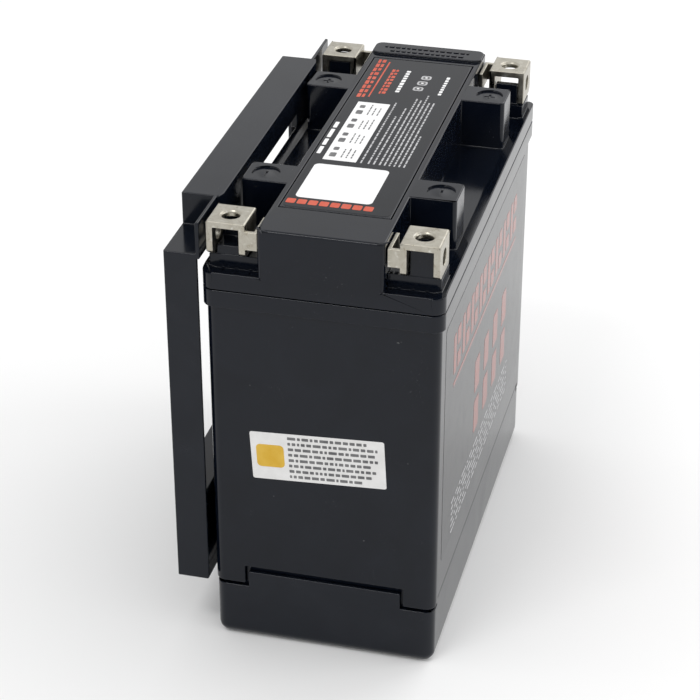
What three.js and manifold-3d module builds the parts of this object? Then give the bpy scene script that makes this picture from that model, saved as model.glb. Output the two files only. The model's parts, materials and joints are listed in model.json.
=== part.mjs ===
// Sealed lead-acid motorcycle battery with four terminals, a side spacer and a bottom spacer.
// Millimetres, +Z up. X is the width (the side spacer is on -X), Y is the length, with the
// negative terminals at -Y. The origin is on the floor, in the middle of the whole outline.
import * as THREE from 'three';
import { mergeVertices } from 'three/addons/utils/BufferGeometryUtils.js';
import Module from 'manifold-3d';

// Outline of the whole object
const TOTAL_WIDTH = 100;
const SIDE_SPACER_WIDTH = 13;
const BATTERY_WIDTH = TOTAL_WIDTH - SIDE_SPACER_WIDTH;
const BATTERY_LENGTH = 175;
const CENTRE_X = SIDE_SPACER_WIDTH / 2;
const HALF_WIDTH = BATTERY_WIDTH / 2;
const HALF_LENGTH = BATTERY_LENGTH / 2;

// Heights above the floor
const CASE_BOTTOM = 20;
const RIM_BOTTOM = 142.6;
const SEAM_HEIGHT = 149.5;
const DECK_HEIGHT = 155.8;
const RAIL_HEIGHT = 156.9;
const TOP_HEIGHT = 174.8;
const PAD_HEIGHT = 175.8;

// Fits
const GAP = 0.3;
const LABEL_GAP = 0.1;
const LABEL_THICKNESS = 0.2;

// Case
const RIM_STEP = 1.2;
const BODY_HALF_WIDTH = HALF_WIDTH - RIM_STEP;
const BODY_HALF_LENGTH = HALF_LENGTH - RIM_STEP;
const CORNER_RADIUS = 4;
const WALL = 4.2;
const FOOT_STEP = 2.2;
const FOOT_HALF_WIDTH = BODY_HALF_WIDTH - FOOT_STEP;
const FOOT_HALF_LENGTH = BODY_HALF_LENGTH - FOOT_STEP;
const FOOT_TOP_END = 24.9;
const FOOT_TOP_SIDE = 27;
const FOOT_SIDE_HALF_LENGTH = 80;
const NOTCH_HALF_WIDTH = 30.3;
const NOTCH_TOP = 32.6;
const CELL_FLOOR = 22.8;
const CELL_COUNT = 6;
const PARTITION = 1.8;
const CELL_HALF_WIDTH = BODY_HALF_WIDTH - WALL;
const CELL_SPAN = 2 * (BODY_HALF_LENGTH - WALL);
const CELL_LENGTH = (CELL_SPAN - (CELL_COUNT - 1) * PARTITION) / CELL_COUNT;
const CELL_PITCH = CELL_LENGTH + PARTITION;

// Plate groups
const POSITIVE_PLATES = 4;
const NEGATIVE_PLATES = POSITIVE_PLATES + 1;
const POSITIVE_THICKNESS = 1.7;
const NEGATIVE_THICKNESS = 1.3;
const STACK_CLEARANCE = 0.7;
const PLATE_HALF_WIDTH = 36.4;
const PLATE_BOTTOM = 25;
const PLATE_TOP = 124;
const STRAP_OFFSET = 14;
const STRAP_HALF_WIDTH = 5.5;
const STRAP_BOTTOM = 130;
const STRAP_TOP = 135;
const STRAP_TAB_TOP = 143;
const STRAP_TAB_THICKNESS = 2.4;
const STACK_LENGTH = CELL_LENGTH - 2 * STACK_CLEARANCE;
const PLATE_GAP = (STACK_LENGTH - POSITIVE_PLATES * POSITIVE_THICKNESS
  - NEGATIVE_PLATES * NEGATIVE_THICKNESS) / (POSITIVE_PLATES + NEGATIVE_PLATES - 1);
const PLATE_PITCH = (POSITIVE_THICKNESS + NEGATIVE_THICKNESS) / 2 + PLATE_GAP;
const MAT_THICKNESS = PLATE_GAP - 2 * GAP;
const MAT_OVERHANG = 0.9;
const CONNECTOR_RADIUS = 4;
const CONNECTOR_HEIGHT = 139;
const CONNECTOR_CLEARANCE = 0.5;

// Lid
const LID_WALL = 2.5;
const DECK_THICKNESS = 2.5;
const SKIRT = 4.4;
const PLATEAU_HALF_WIDTH = 22.6;
const PLATEAU_RADIUS = 1.6;
const PAD_START = 76;
const PAD_RADIUS = 3;
const RAIL_WIDTH = 4.2;
const RAIL_SLOPE = 6;
const RAIL_END = 1.5;
const BLOCK_REACH = 39.3;
const BLOCK_RADIUS = 1.6;
const BLOCKS_Y = [[-49.3, -34.2], [39, 53.6]];
const COVER_HALF_WIDTH = 20.3;
const COVER_Y = [-68, 73];
const COVER_THICKNESS = 2.6;
const COVER_SHOULDER = 1.8;
const GALLERY_FLOOR = 166.5;
const NECK_RADIUS = 4.5;
const NECK_BORE = 2.5;
const NECK_TOP = 170.4;
const VALVE_Y = [-60, -41.5, -13.8, 13.8, 41.5, 60];

// Valve caps
const CAP_INNER = 4.9;
const CAP_OUTER = 5.8;
const CAP_BOTTOM = 167;
const CAP_ROOF = NECK_TOP + GAP;
const CAP_TOP = 171.5;

// Terminals
const TERMINAL_OFFSET = 34.35;
const TERMINAL_HALF_WIDTH = 7.05;
const TERMINAL_OUTER_Y = 85.2;
const TERMINAL_LENGTH = 14.5;
const TERMINAL_PLATE = 2.4;
const TERMINAL_BEND = 0.7;
const LEG_BOTTOM = 161.8;
const LEG_TIP = 163.4;
const LEG_TAPER = 2;
const TERMINAL_HOLE = 3.1;
const SIDE_HOLE = 3.1;
const SIDE_HOLE_HEIGHT = 168;
const HOLE_CHAMFER = 0.7;
const TAIL_THICKNESS = 1.5;
const TAIL_BOTTOM = 165.2;
const TAIL_TOP = 172.2;
const TAIL_LENGTH = 13;
const PEDESTAL_OUTER_Y = 82.1;
const PEDESTAL_INNER_Y = 69.5;
const PEDESTAL_TOP = 161.2;
const PILLAR_HALF_WIDTH = TERMINAL_HALF_WIDTH - TERMINAL_PLATE - GAP;
const PILLAR_Y = [71.6, 81.7];
const PILLAR_HOLE = 3.4;
const PILLAR_HOLE_BOTTOM = 163;
const SLOT_FLOOR = 164.4;
const STOP_THICKNESS = 2.4;
const STOP_TOP = 169.3;
const LEDGE_RIBS = 3;
const LEDGE_RIB_WIDTH = 0.8;
const LEDGE_LIP = 0.9;
const LEDGE_TOP = 156.3;

// Links and posts inside the plateau
const LINK_Y = [75.9, 82.6];
const LINK_BOTTOM = 166;
const LINK_TOP = 169.5;
const POST_RADIUS = 3;
const POST_Y = 78.8;
const SEAL_RADIUS = 4.2;
const SEAL_HEIGHT = 2.5;
const BRIDGE_BOTTOM = 157.5;
const BRIDGE_TOP = 160;
const BRIDGE_REACH = 10;

// Bottom spacer
const TRAY_INSET = 0.3;
const TRAY_BASE = 2.6;
const TRAY_RIB = 2;
const TRAY_POCKETS_X = 2;
const TRAY_POCKETS_Y = 3;
const TRAY_END_TOP = 23.3;
const TRAY_SIDE_TOP = 26.2;
const TRAY_TAB_TOP = 30;
const TRAY_TAB_HALF_WIDTH = 29.2;
const TRAY_EDGE_RADIUS = 4;

// Side spacer
const FRAME_OUTER_X = -TOTAL_WIDTH / 2;
const FRAME_INNER_X = -37.9;
const FRAME_HALF_LENGTH = 87.3;
const FRAME_PLATE = 1.9;
const FRAME_BOTTOM = 25;
const FRAME_TOP = 162.5;
const WINDOW_BOTTOM = 64;
const WEB_X = [-45.6, -43.8];
const LIP_X = -39.7;
const LIP_TOP = 35.5;
const BAR_INNER_X = -35.1;
const BAR_HALF_LENGTH = 65.3;
const BAR_CHAMFER_Y = 3;
const BAR_CHAMFER_X = 1;
const LIP_BOTTOM = 158.2;
const LIP_NOTCH_HALF_LENGTH = 34;
const LIP_NOTCH_TOP = 164.2;
const FLANGE_START = 72;
const FIN_X = [-38.1, -36.8];
const WEB_RIBS = 4;

// Labels
const TOP_LABEL_HALF_WIDTH = 19.2;
const TOP_LABEL_Y = [-66.8, 71.8];
const END_LABEL_CENTRE = [4.85, 84.3];
const END_LABEL_SIZE = [50, 19.8];
const END_LABEL_TILT = 3.2;
const SIDE_LABEL_Y = [-76, 76];
const SIDE_LABEL_Z = [40, 138];

// Sides of every round hole and round peg
const HOLE_SEGMENTS = 20;

const wasm = await Module();
wasm.setup();

// ---- Shapes ----------------------------------------------------------------------------

function polygon(points) {
  return new THREE.Shape(points.map(([a, b]) => new THREE.Vector2(a, b)));
}

function roundedRectangle(halfX, halfY, radius, centreX = 0, centreY = 0) {
  const shape = new THREE.Shape();
  const corners = [[1, -1, -90], [1, 1, 0], [-1, 1, 90], [-1, -1, 180]];
  for (const [sx, sy, start] of corners) {
    const cx = centreX + sx * (halfX - radius);
    const cy = centreY + sy * (halfY - radius);
    const from = THREE.MathUtils.degToRad(start);
    shape.absarc(cx, cy, radius, from, from + Math.PI / 2, false);
  }
  return shape;
}

function alongZ(shape, z0, z1, curveSegments = 5) {
  const options = { depth: z1 - z0, bevelEnabled: false, curveSegments };
  return new THREE.ExtrudeGeometry(shape, options).translate(0, 0, z0);
}

// A profile in X and Z, drawn out along Y
function alongY(shape, y0, y1, curveSegments = 4) {
  const basis = new THREE.Matrix4().makeBasis(
    new THREE.Vector3(1, 0, 0), new THREE.Vector3(0, 0, 1), new THREE.Vector3(0, -1, 0));
  const options = { depth: y1 - y0, bevelEnabled: false, curveSegments };
  return new THREE.ExtrudeGeometry(shape, options).applyMatrix4(basis).translate(0, y1, 0);
}

// A profile in Y and Z, drawn out along X
function alongX(shape, x0, x1) {
  const basis = new THREE.Matrix4().makeBasis(
    new THREE.Vector3(0, 1, 0), new THREE.Vector3(0, 0, 1), new THREE.Vector3(1, 0, 0));
  const options = { depth: x1 - x0, bevelEnabled: false };
  return new THREE.ExtrudeGeometry(shape, options).applyMatrix4(basis).translate(x0, 0, 0);
}

function box(x0, x1, y0, y1, z0, z1) {
  const geometry = new THREE.BoxGeometry(Math.abs(x1 - x0), Math.abs(y1 - y0), Math.abs(z1 - z0));
  return geometry.translate((x0 + x1) / 2, (y0 + y1) / 2, (z0 + z1) / 2);
}

function discZ(x, y, radius, z0, z1) {
  const geometry = new THREE.CylinderGeometry(radius, radius, z1 - z0, HOLE_SEGMENTS);
  return geometry.rotateX(Math.PI / 2).translate(x, y, (z0 + z1) / 2);
}

function discY(x, z, radius, y0, y1) {
  const geometry = new THREE.CylinderGeometry(radius, radius, y1 - y0, HOLE_SEGMENTS);
  return geometry.translate(x, (y0 + y1) / 2, z);
}

function discX(y, z, radius, x0, x1) {
  const geometry = new THREE.CylinderGeometry(radius, radius, Math.abs(x1 - x0), HOLE_SEGMENTS);
  return geometry.rotateZ(Math.PI / 2).translate((x0 + x1) / 2, y, z);
}

// ---- Joining and cutting ---------------------------------------------------------------

function toSolid(geometry) {
  const bare = geometry.clone();
  bare.deleteAttribute('normal');
  bare.deleteAttribute('uv');
  const merged = mergeVertices(bare, 1e-4);
  return new wasm.Manifold(new wasm.Mesh({
    numProp: 3,
    vertProperties: new Float32Array(merged.attributes.position.array),
    triVerts: new Uint32Array(merged.index.array),
  }));
}

function toGeometry(solid) {
  const mesh = solid.getMesh();
  const geometry = new THREE.BufferGeometry();
  geometry.setAttribute('position', new THREE.BufferAttribute(mesh.vertProperties, 3));
  geometry.setIndex(new THREE.BufferAttribute(mesh.triVerts, 1));
  const faceted = geometry.toNonIndexed();
  faceted.computeVertexNormals();
  return faceted;
}

// Joins the first list of geometries and takes the second list away from the result
function carve(added, removed = []) {
  let solid = toSolid(added[0]);
  for (const geometry of added.slice(1)) solid = solid.add(toSolid(geometry));
  for (const geometry of removed) solid = solid.subtract(toSolid(geometry));
  return solid;
}

// ---- Materials -------------------------------------------------------------------------

function paint(color, roughness, metalness = 0) {
  return new THREE.MeshStandardMaterial({ color, roughness, metalness });
}

const caseBlack = paint(0x17181b, 0.22);
const spacerBlack = paint(0x1b1c1f, 0.3);
const nickel = paint(0xb9b2a4, 0.35, 1);
const lead = paint(0x6d7076, 0.6, 1);
const positivePaste = paint(0x4b2f26, 0.9);
const negativePaste = paint(0x7d8187, 0.85);
const glassMat = paint(0xe9e9e4, 0.95);
const rubber = paint(0x202022, 0.8);
const sealant = paint(0x2c2a26, 0.6);
const labelBlack = paint(0x2a2b2e, 0.45);
const labelWhite = paint(0xeceae4, 0.55);

const group = new THREE.Group();

function addPiece(name, geometry, material) {
  const mesh = new THREE.Mesh(geometry, material);
  mesh.name = name;
  group.add(mesh);
}

function cellCentre(cell) {
  return (cell - (CELL_COUNT - 1) / 2) * CELL_PITCH;
}

// +1 where the cell's positive strap is on the +X side
function positiveSide(cell) {
  return cell % 2 === 0 ? -1 : 1;
}

// ---- Case ------------------------------------------------------------------------------

function buildCase() {
  const body = roundedRectangle(BODY_HALF_WIDTH, BODY_HALF_LENGTH, CORNER_RADIUS, CENTRE_X);
  const rim = roundedRectangle(HALF_WIDTH, HALF_LENGTH, CORNER_RADIUS + RIM_STEP / 2, CENTRE_X);
  const top = SEAM_HEIGHT - GAP / 2;
  const added = [alongZ(body, CASE_BOTTOM, top), alongZ(rim, RIM_BOTTOM, top)];
  const removed = [];
  const low = CASE_BOTTOM - 1;
  for (const side of [-1, 1]) {
    const footX = CENTRE_X + side * FOOT_HALF_WIDTH;
    const outX = CENTRE_X + side * HALF_WIDTH;
    const reach = FOOT_SIDE_HALF_LENGTH;
    removed.push(box(footX, outX, -HALF_LENGTH, HALF_LENGTH, low, FOOT_TOP_END));
    removed.push(box(footX, outX, -reach, reach, low, FOOT_TOP_SIDE));
    const footY = side * FOOT_HALF_LENGTH;
    const outY = side * HALF_LENGTH;
    const outline = [CENTRE_X - HALF_WIDTH, CENTRE_X + HALF_WIDTH];
    removed.push(box(...outline, footY, outY, low, FOOT_TOP_END));
    const notch = [CENTRE_X - NOTCH_HALF_WIDTH, CENTRE_X + NOTCH_HALF_WIDTH];
    removed.push(box(...notch, footY, outY, low, NOTCH_TOP));
  }
  for (let cell = 0; cell < CELL_COUNT; cell++) {
    const y = cellCentre(cell);
    const wide = [CENTRE_X - CELL_HALF_WIDTH, CENTRE_X + CELL_HALF_WIDTH];
    removed.push(box(...wide, y - CELL_LENGTH / 2, y + CELL_LENGTH / 2, CELL_FLOOR, top + 1));
  }
  for (let wall = 0; wall < CELL_COUNT - 1; wall++) {
    const y = cellCentre(wall) + CELL_PITCH / 2;
    const x = CENTRE_X + positiveSide(wall) * STRAP_OFFSET;
    const radius = CONNECTOR_RADIUS + CONNECTOR_CLEARANCE;
    removed.push(discY(x, CONNECTOR_HEIGHT, radius, y - PARTITION, y + PARTITION));
  }
  addPiece('case', toGeometry(carve(added, removed)), caseBlack);
}

// ---- Cells -----------------------------------------------------------------------------

// The centre of each plate of a cell, counted from its -Y end; even ones are negative
function plateY(cell, plate) {
  return cellCentre(cell) + (plate - (NEGATIVE_PLATES + POSITIVE_PLATES - 1) / 2) * PLATE_PITCH;
}

// tabEnd is the end (-1 or +1) where the strap turns up against the partition, and postEnd the
// end where it runs on under a post
function buildPlateGroup(cell, first, thickness, side, tabEnd, postEnd) {
  const added = [];
  const strapX = CENTRE_X + side * STRAP_OFFSET;
  const count = POSITIVE_PLATES + NEGATIVE_PLATES;
  for (let plate = first; plate < count; plate += 2) {
    const y = plateY(cell, plate);
    const ys = [y - thickness / 2, y + thickness / 2];
    const across = [CENTRE_X - PLATE_HALF_WIDTH, CENTRE_X + PLATE_HALF_WIDTH];
    added.push(box(...across, ...ys, PLATE_BOTTOM, PLATE_TOP));
    const lug = [strapX - STRAP_HALF_WIDTH + 1, strapX + STRAP_HALF_WIDTH - 1];
    added.push(box(...lug, ...ys, PLATE_TOP - 1, STRAP_BOTTOM + 1));
  }
  const strap = [strapX - STRAP_HALF_WIDTH, strapX + STRAP_HALF_WIDTH];
  const wallFace = CELL_LENGTH / 2 - GAP;
  const centre = cellCentre(cell);
  const ends = [plateY(cell, first) - thickness / 2, plateY(cell, count - 1 - first) + thickness / 2];
  if (tabEnd < 0 || postEnd < 0) ends[0] = centre - wallFace;
  if (tabEnd > 0 || postEnd > 0) ends[1] = centre + wallFace;
  added.push(box(...strap, ...ends, STRAP_BOTTOM, STRAP_TOP));
  if (tabEnd !== 0) {
    const tab = [centre + tabEnd * (wallFace - STRAP_TAB_THICKNESS), centre + tabEnd * wallFace];
    added.push(box(...strap, ...tab, STRAP_BOTTOM, STRAP_TAB_TOP));
  }
  return toGeometry(carve(added));
}

// One mat folded back and forth between the plates, over one and under the next
function buildSeparator(cell) {
  const half = MAT_THICKNESS / 2;
  const low = PLATE_BOTTOM - GAP - MAT_THICKNESS;
  const high = PLATE_TOP + GAP + MAT_THICKNESS;
  const count = POSITIVE_PLATES + NEGATIVE_PLATES;
  const added = [];
  const across = [CENTRE_X - PLATE_HALF_WIDTH - MAT_OVERHANG, CENTRE_X + PLATE_HALF_WIDTH + MAT_OVERHANG];
  for (let fold = 0; fold < count - 1; fold++) {
    const y = (plateY(cell, fold) + plateY(cell, fold + 1)) / 2;
    added.push(box(...across, y - half, y + half, low, fold % 2 === 0 ? PLATE_TOP : high - MAT_THICKNESS));
    if (fold < count - 2) {
      const next = y + PLATE_PITCH;
      added.push(box(...across, y - half, next + half, low, low + MAT_THICKNESS));
    }
  }
  return toGeometry(carve(added));
}

function buildCells() {
  for (let cell = 0; cell < CELL_COUNT; cell++) {
    const number = cell + 1;
    const side = positiveSide(cell);
    const last = cell === CELL_COUNT - 1;
    const plus = last ? [0, 1] : [1, 0];
    const minus = cell === 0 ? [0, -1] : [-1, 0];
    const positive = buildPlateGroup(cell, 1, POSITIVE_THICKNESS, side, ...plus);
    const negative = buildPlateGroup(cell, 0, NEGATIVE_THICKNESS, -side, ...minus);
    addPiece(`positive_plates_${number}`, positive, positivePaste);
    addPiece(`negative_plates_${number}`, negative, negativePaste);
    addPiece(`separator_${number}`, buildSeparator(cell), glassMat);
  }
  for (let wall = 0; wall < CELL_COUNT - 1; wall++) {
    const y = cellCentre(wall) + CELL_PITCH / 2;
    const x = CENTRE_X + positiveSide(wall) * STRAP_OFFSET;
    const plug = discY(x, CONNECTOR_HEIGHT, CONNECTOR_RADIUS, y - PARTITION / 2, y + PARTITION / 2);
    addPiece(`cell_connector_${wall + 1}`, plug, lead);
  }
}

// ---- Lid -------------------------------------------------------------------------------

// A rail that rises from the deck to its outer edge and slopes down at its -Y end
function lidRail(side) {
  const outer = CENTRE_X + side * HALF_WIDTH;
  const inner = outer - side * RAIL_WIDTH;
  const end = HALF_LENGTH - RAIL_END;
  const low = DECK_HEIGHT - 1;
  const long = polygon([
    [-end, low], [HALF_LENGTH, low], [HALF_LENGTH, RAIL_HEIGHT], [-end + RAIL_SLOPE, RAIL_HEIGHT],
    [-end, DECK_HEIGHT],
  ]);
  const section = [[inner, low], [outer, low], [outer, RAIL_HEIGHT], [inner, DECK_HEIGHT]];
  if (side < 0) section.reverse();
  const rail = toSolid(alongY(polygon(section), -HALF_LENGTH, HALF_LENGTH));
  return toGeometry(rail.intersect(toSolid(alongX(long, -TOTAL_WIDTH, TOTAL_WIDTH))));
}

// The pedestal that one terminal stands over, with the pillar inside the terminal
function pedestal(sideX, sideY) {
  const outerX = CENTRE_X + sideX * (TERMINAL_OFFSET + TERMINAL_HALF_WIDTH);
  const innerX = CENTRE_X + sideX * (PLATEAU_HALF_WIDTH - 1);
  const ys = [sideY * PEDESTAL_INNER_Y, sideY * PEDESTAL_OUTER_Y];
  const pieces = [box(outerX, innerX, ...ys, DECK_HEIGHT - 1, PEDESTAL_TOP)];
  const ribY = [sideY * (PEDESTAL_OUTER_Y - 1), sideY * (HALF_LENGTH - LEDGE_LIP / 2)];
  const lipY = [sideY * (HALF_LENGTH - LEDGE_LIP), sideY * HALF_LENGTH];
  const lipEnd = CENTRE_X + sideX * (HALF_WIDTH - RAIL_WIDTH);
  pieces.push(box(lipEnd, innerX, ...lipY, DECK_HEIGHT - 1, LEDGE_TOP));
  for (let rib = 0; rib < LEDGE_RIBS; rib++) {
    const x = outerX + ((innerX - outerX) * (rib + 1)) / (LEDGE_RIBS + 1);
    const half = LEDGE_RIB_WIDTH / 2;
    pieces.push(box(x - half, x + half, ...ribY, DECK_HEIGHT - 1, LEDGE_TOP));
  }
  return [...pieces, ...pillar(sideX, sideY)];
}

// On one diagonal the pillar is full and takes a bolt. On the other it is low, with a stop at
// its inner end, and leaves a slot for a nut.
function isFullPillar(sideX, sideY) {
  return sideX * sideY < 0;
}

function pillar(sideX, sideY) {
  const middle = CENTRE_X + sideX * TERMINAL_OFFSET;
  const across = [middle - PILLAR_HALF_WIDTH, middle + PILLAR_HALF_WIDTH];
  const [start, end] = PILLAR_Y;
  const base = PEDESTAL_TOP - 1;
  if (isFullPillar(sideX, sideY)) {
    const top = TOP_HEIGHT - TERMINAL_PLATE - GAP;
    return [box(...across, sideY * start, sideY * end, base, top)];
  }
  return [
    box(...across, sideY * start, sideY * end, base, SLOT_FLOOR),
    box(...across, sideY * start, sideY * (start + STOP_THICKNESS), base, STOP_TOP),
  ];
}

// The bolt holes of a full pillar, from above and from the side
function pillarHoles(sideX, sideY) {
  const middle = CENTRE_X + sideX * TERMINAL_OFFSET;
  const y = sideY * (TERMINAL_OUTER_Y - TERMINAL_LENGTH / 2);
  const legInner = middle + sideX * (TERMINAL_HALF_WIDTH - TERMINAL_PLATE);
  return [
    discZ(middle, y, PILLAR_HOLE, PILLAR_HOLE_BOTTOM, TOP_HEIGHT),
    discX(y, SIDE_HOLE_HEIGHT, PILLAR_HOLE, middle, legInner),
  ];
}

// A solid block beside the plateau, with rounded corners on its outer end
function sideBlock(side, y0, y1) {
  const inner = PLATEAU_HALF_WIDTH - 2 * BLOCK_RADIUS;
  const halfX = (BLOCK_REACH - inner) / 2;
  const x = CENTRE_X + side * (BLOCK_REACH + inner) / 2;
  const outline = roundedRectangle(halfX, (y1 - y0) / 2, BLOCK_RADIUS, x, (y0 + y1) / 2);
  return alongZ(outline, DECK_HEIGHT - 1, TOP_HEIGHT, 3);
}

function buildLid() {
  const seat = SEAM_HEIGHT + GAP / 2;
  const rim = roundedRectangle(HALF_WIDTH, HALF_LENGTH, CORNER_RADIUS + RIM_STEP / 2, CENTRE_X);
  const plateau = [CENTRE_X - PLATEAU_HALF_WIDTH, CENTRE_X + PLATEAU_HALF_WIDTH];
  const outline = roundedRectangle(PLATEAU_HALF_WIDTH, HALF_LENGTH, PLATEAU_RADIUS, CENTRE_X);
  const padHalf = (HALF_LENGTH - PAD_START) / 2;
  const pad = roundedRectangle(
    PLATEAU_HALF_WIDTH - GAP, padHalf - GAP, PAD_RADIUS, CENTRE_X, PAD_START + padHalf);
  const added = [
    alongZ(rim, seat, DECK_HEIGHT),
    alongZ(outline, DECK_HEIGHT - 1, TOP_HEIGHT),
    alongZ(pad, TOP_HEIGHT - 1, PAD_HEIGHT),
  ];
  const removed = [];
  const hollow = [CENTRE_X - HALF_WIDTH + SKIRT, CENTRE_X + HALF_WIDTH - SKIRT];
  const inside = HALF_LENGTH - SKIRT;
  removed.push(box(...hollow, -inside, inside, seat - 1, DECK_HEIGHT - DECK_THICKNESS));
  const under = [plateau[0] + LID_WALL, plateau[1] - LID_WALL];
  const roof = TOP_HEIGHT - LID_WALL;
  const galleryRoof = GALLERY_FLOOR - LID_WALL;
  const [coverStart, coverEnd] = COVER_Y;
  removed.push(box(...under, -inside, coverStart - LID_WALL, seat - 1, roof));
  removed.push(box(...under, coverStart - LID_WALL - 1, coverEnd + LID_WALL + 1, seat - 1, galleryRoof));
  removed.push(box(...under, coverEnd + LID_WALL, inside, seat - 1, roof));
  for (const side of [-1, 1]) {
    added.push(lidRail(side));
    for (const [y0, y1] of BLOCKS_Y) {
      added.push(sideBlock(side, y0, y1));
      const pocket = [CENTRE_X + side * PLATEAU_HALF_WIDTH, CENTRE_X + side * (BLOCK_REACH - LID_WALL)];
      removed.push(box(...pocket, y0 + LID_WALL, y1 - LID_WALL, seat - 1, roof));
    }
    for (const end of [-1, 1]) {
      added.push(...pedestal(side, end));
      if (isFullPillar(side, end)) removed.push(...pillarHoles(side, end));
    }
  }
  finishLid(carve(added, removed), under, inside);
}

// The vent gallery, its necks, the ribs that meet the case's partitions and the link slots
function finishLid(shell, under, inside) {
  const seat = SEAM_HEIGHT + GAP / 2;
  const [coverStart, coverEnd] = COVER_Y;
  const coverX = [CENTRE_X - COVER_HALF_WIDTH, CENTRE_X + COVER_HALF_WIDTH];
  const galleryX = [coverX[0] + COVER_SHOULDER, coverX[1] - COVER_SHOULDER];
  const coverSeat = TOP_HEIGHT - COVER_THICKNESS - GAP;
  const galleryY = [coverStart + COVER_SHOULDER, coverEnd - COVER_SHOULDER];
  const rim = roundedRectangle(HALF_WIDTH, HALF_LENGTH, CORNER_RADIUS + RIM_STEP / 2, CENTRE_X);
  let solid = shell;
  solid = solid.subtract(toSolid(box(...coverX, coverStart, coverEnd, coverSeat, TOP_HEIGHT + 1)));
  solid = solid.subtract(toSolid(box(...galleryX, ...galleryY, GALLERY_FLOOR, TOP_HEIGHT + 1)));
  for (let wall = 0; wall < CELL_COUNT - 1; wall++) {
    const y = cellCentre(wall) + CELL_PITCH / 2;
    const rib = [y - PARTITION / 2, y + PARTITION / 2];
    const tall = box(under[0] - 1, under[1] + 1, ...rib, seat, GALLERY_FLOOR - 1);
    const wide = box(CENTRE_X - HALF_WIDTH + SKIRT - 1, CENTRE_X + HALF_WIDTH - SKIRT + 1, ...rib,
      seat, DECK_HEIGHT - 1);
    solid = solid.add(toSolid(tall)).add(toSolid(wide));
  }
  for (const end of [-1, 1]) {
    const bridgeY = [end * (inside + 1), end * (POST_Y - BRIDGE_REACH)];
    solid = solid.add(toSolid(box(under[0] - 1, under[1] + 1, ...bridgeY, BRIDGE_BOTTOM, BRIDGE_TOP)));
    const postX = CENTRE_X + postSide(end) * STRAP_OFFSET;
    const hole = discZ(postX, end * POST_Y, POST_RADIUS + GAP, BRIDGE_BOTTOM - 1, BRIDGE_TOP + 1);
    solid = solid.subtract(toSolid(hole));
    const slotX = [CENTRE_X - PLATEAU_HALF_WIDTH - 1, CENTRE_X + PLATEAU_HALF_WIDTH + 1];
    const slotY = LINK_Y.map((y) => end * y).sort((a, b) => a - b);
    const slot = box(...slotX, slotY[0] - GAP, slotY[1] + GAP, LINK_BOTTOM - GAP, LINK_TOP + GAP);
    solid = solid.subtract(toSolid(slot));
  }
  solid = solid.intersect(toSolid(alongZ(rim, seat, PAD_HEIGHT)));
  for (const y of VALVE_Y) {
    solid = solid.add(toSolid(discZ(CENTRE_X, y, NECK_RADIUS, GALLERY_FLOOR - 1, NECK_TOP)));
    const bore = discZ(CENTRE_X, y, NECK_BORE, GALLERY_FLOOR - LID_WALL - 1, NECK_TOP + 1);
    solid = solid.subtract(toSolid(bore));
  }
  addPiece('lid', toGeometry(solid), caseBlack);
}

function buildVentCover() {
  const x = [CENTRE_X - COVER_HALF_WIDTH + GAP, CENTRE_X + COVER_HALF_WIDTH - GAP];
  const y = [COVER_Y[0] + GAP, COVER_Y[1] - GAP];
  addPiece('vent_cover', box(...x, ...y, TOP_HEIGHT - COVER_THICKNESS, TOP_HEIGHT), caseBlack);
}

function buildValveCaps() {
  const profile = [
    [0, CAP_ROOF], [CAP_INNER, CAP_ROOF], [CAP_INNER, CAP_BOTTOM], [CAP_OUTER, CAP_BOTTOM],
    [CAP_OUTER, CAP_TOP], [0, CAP_TOP],
  ].map(([r, z]) => new THREE.Vector2(r, z));
  VALVE_Y.forEach((y, index) => {
    const cap = new THREE.LatheGeometry(profile, HOLE_SEGMENTS).rotateX(Math.PI / 2);
    cap.translate(CENTRE_X, y, 0);
    addPiece(`valve_cap_${index + 1}`, cap, rubber);
  });
}

// ---- Terminals, links and posts --------------------------------------------------------

// The strap side of the cell that the post at this end (-1 negative, +1 positive) stands on
function postSide(end) {
  return end < 0 ? -positiveSide(0) : positiveSide(CELL_COUNT - 1);
}

function channelProfile(middle) {
  const outline = new THREE.Shape();
  const half = TERMINAL_HALF_WIDTH;
  const inner = half - TERMINAL_PLATE;
  const bend = TERMINAL_BEND;
  const ceiling = TOP_HEIGHT - TERMINAL_PLATE;
  outline.moveTo(middle - half, LEG_BOTTOM);
  outline.lineTo(middle - inner, LEG_BOTTOM);
  outline.lineTo(middle - inner, ceiling);
  outline.lineTo(middle + inner, ceiling);
  outline.lineTo(middle + inner, LEG_BOTTOM);
  outline.lineTo(middle + half, LEG_BOTTOM);
  outline.absarc(middle + half - bend, TOP_HEIGHT - bend, bend, 0, Math.PI / 2, false);
  outline.absarc(middle - half + bend, TOP_HEIGHT - bend, bend, Math.PI / 2, Math.PI, false);
  return outline;
}

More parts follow.
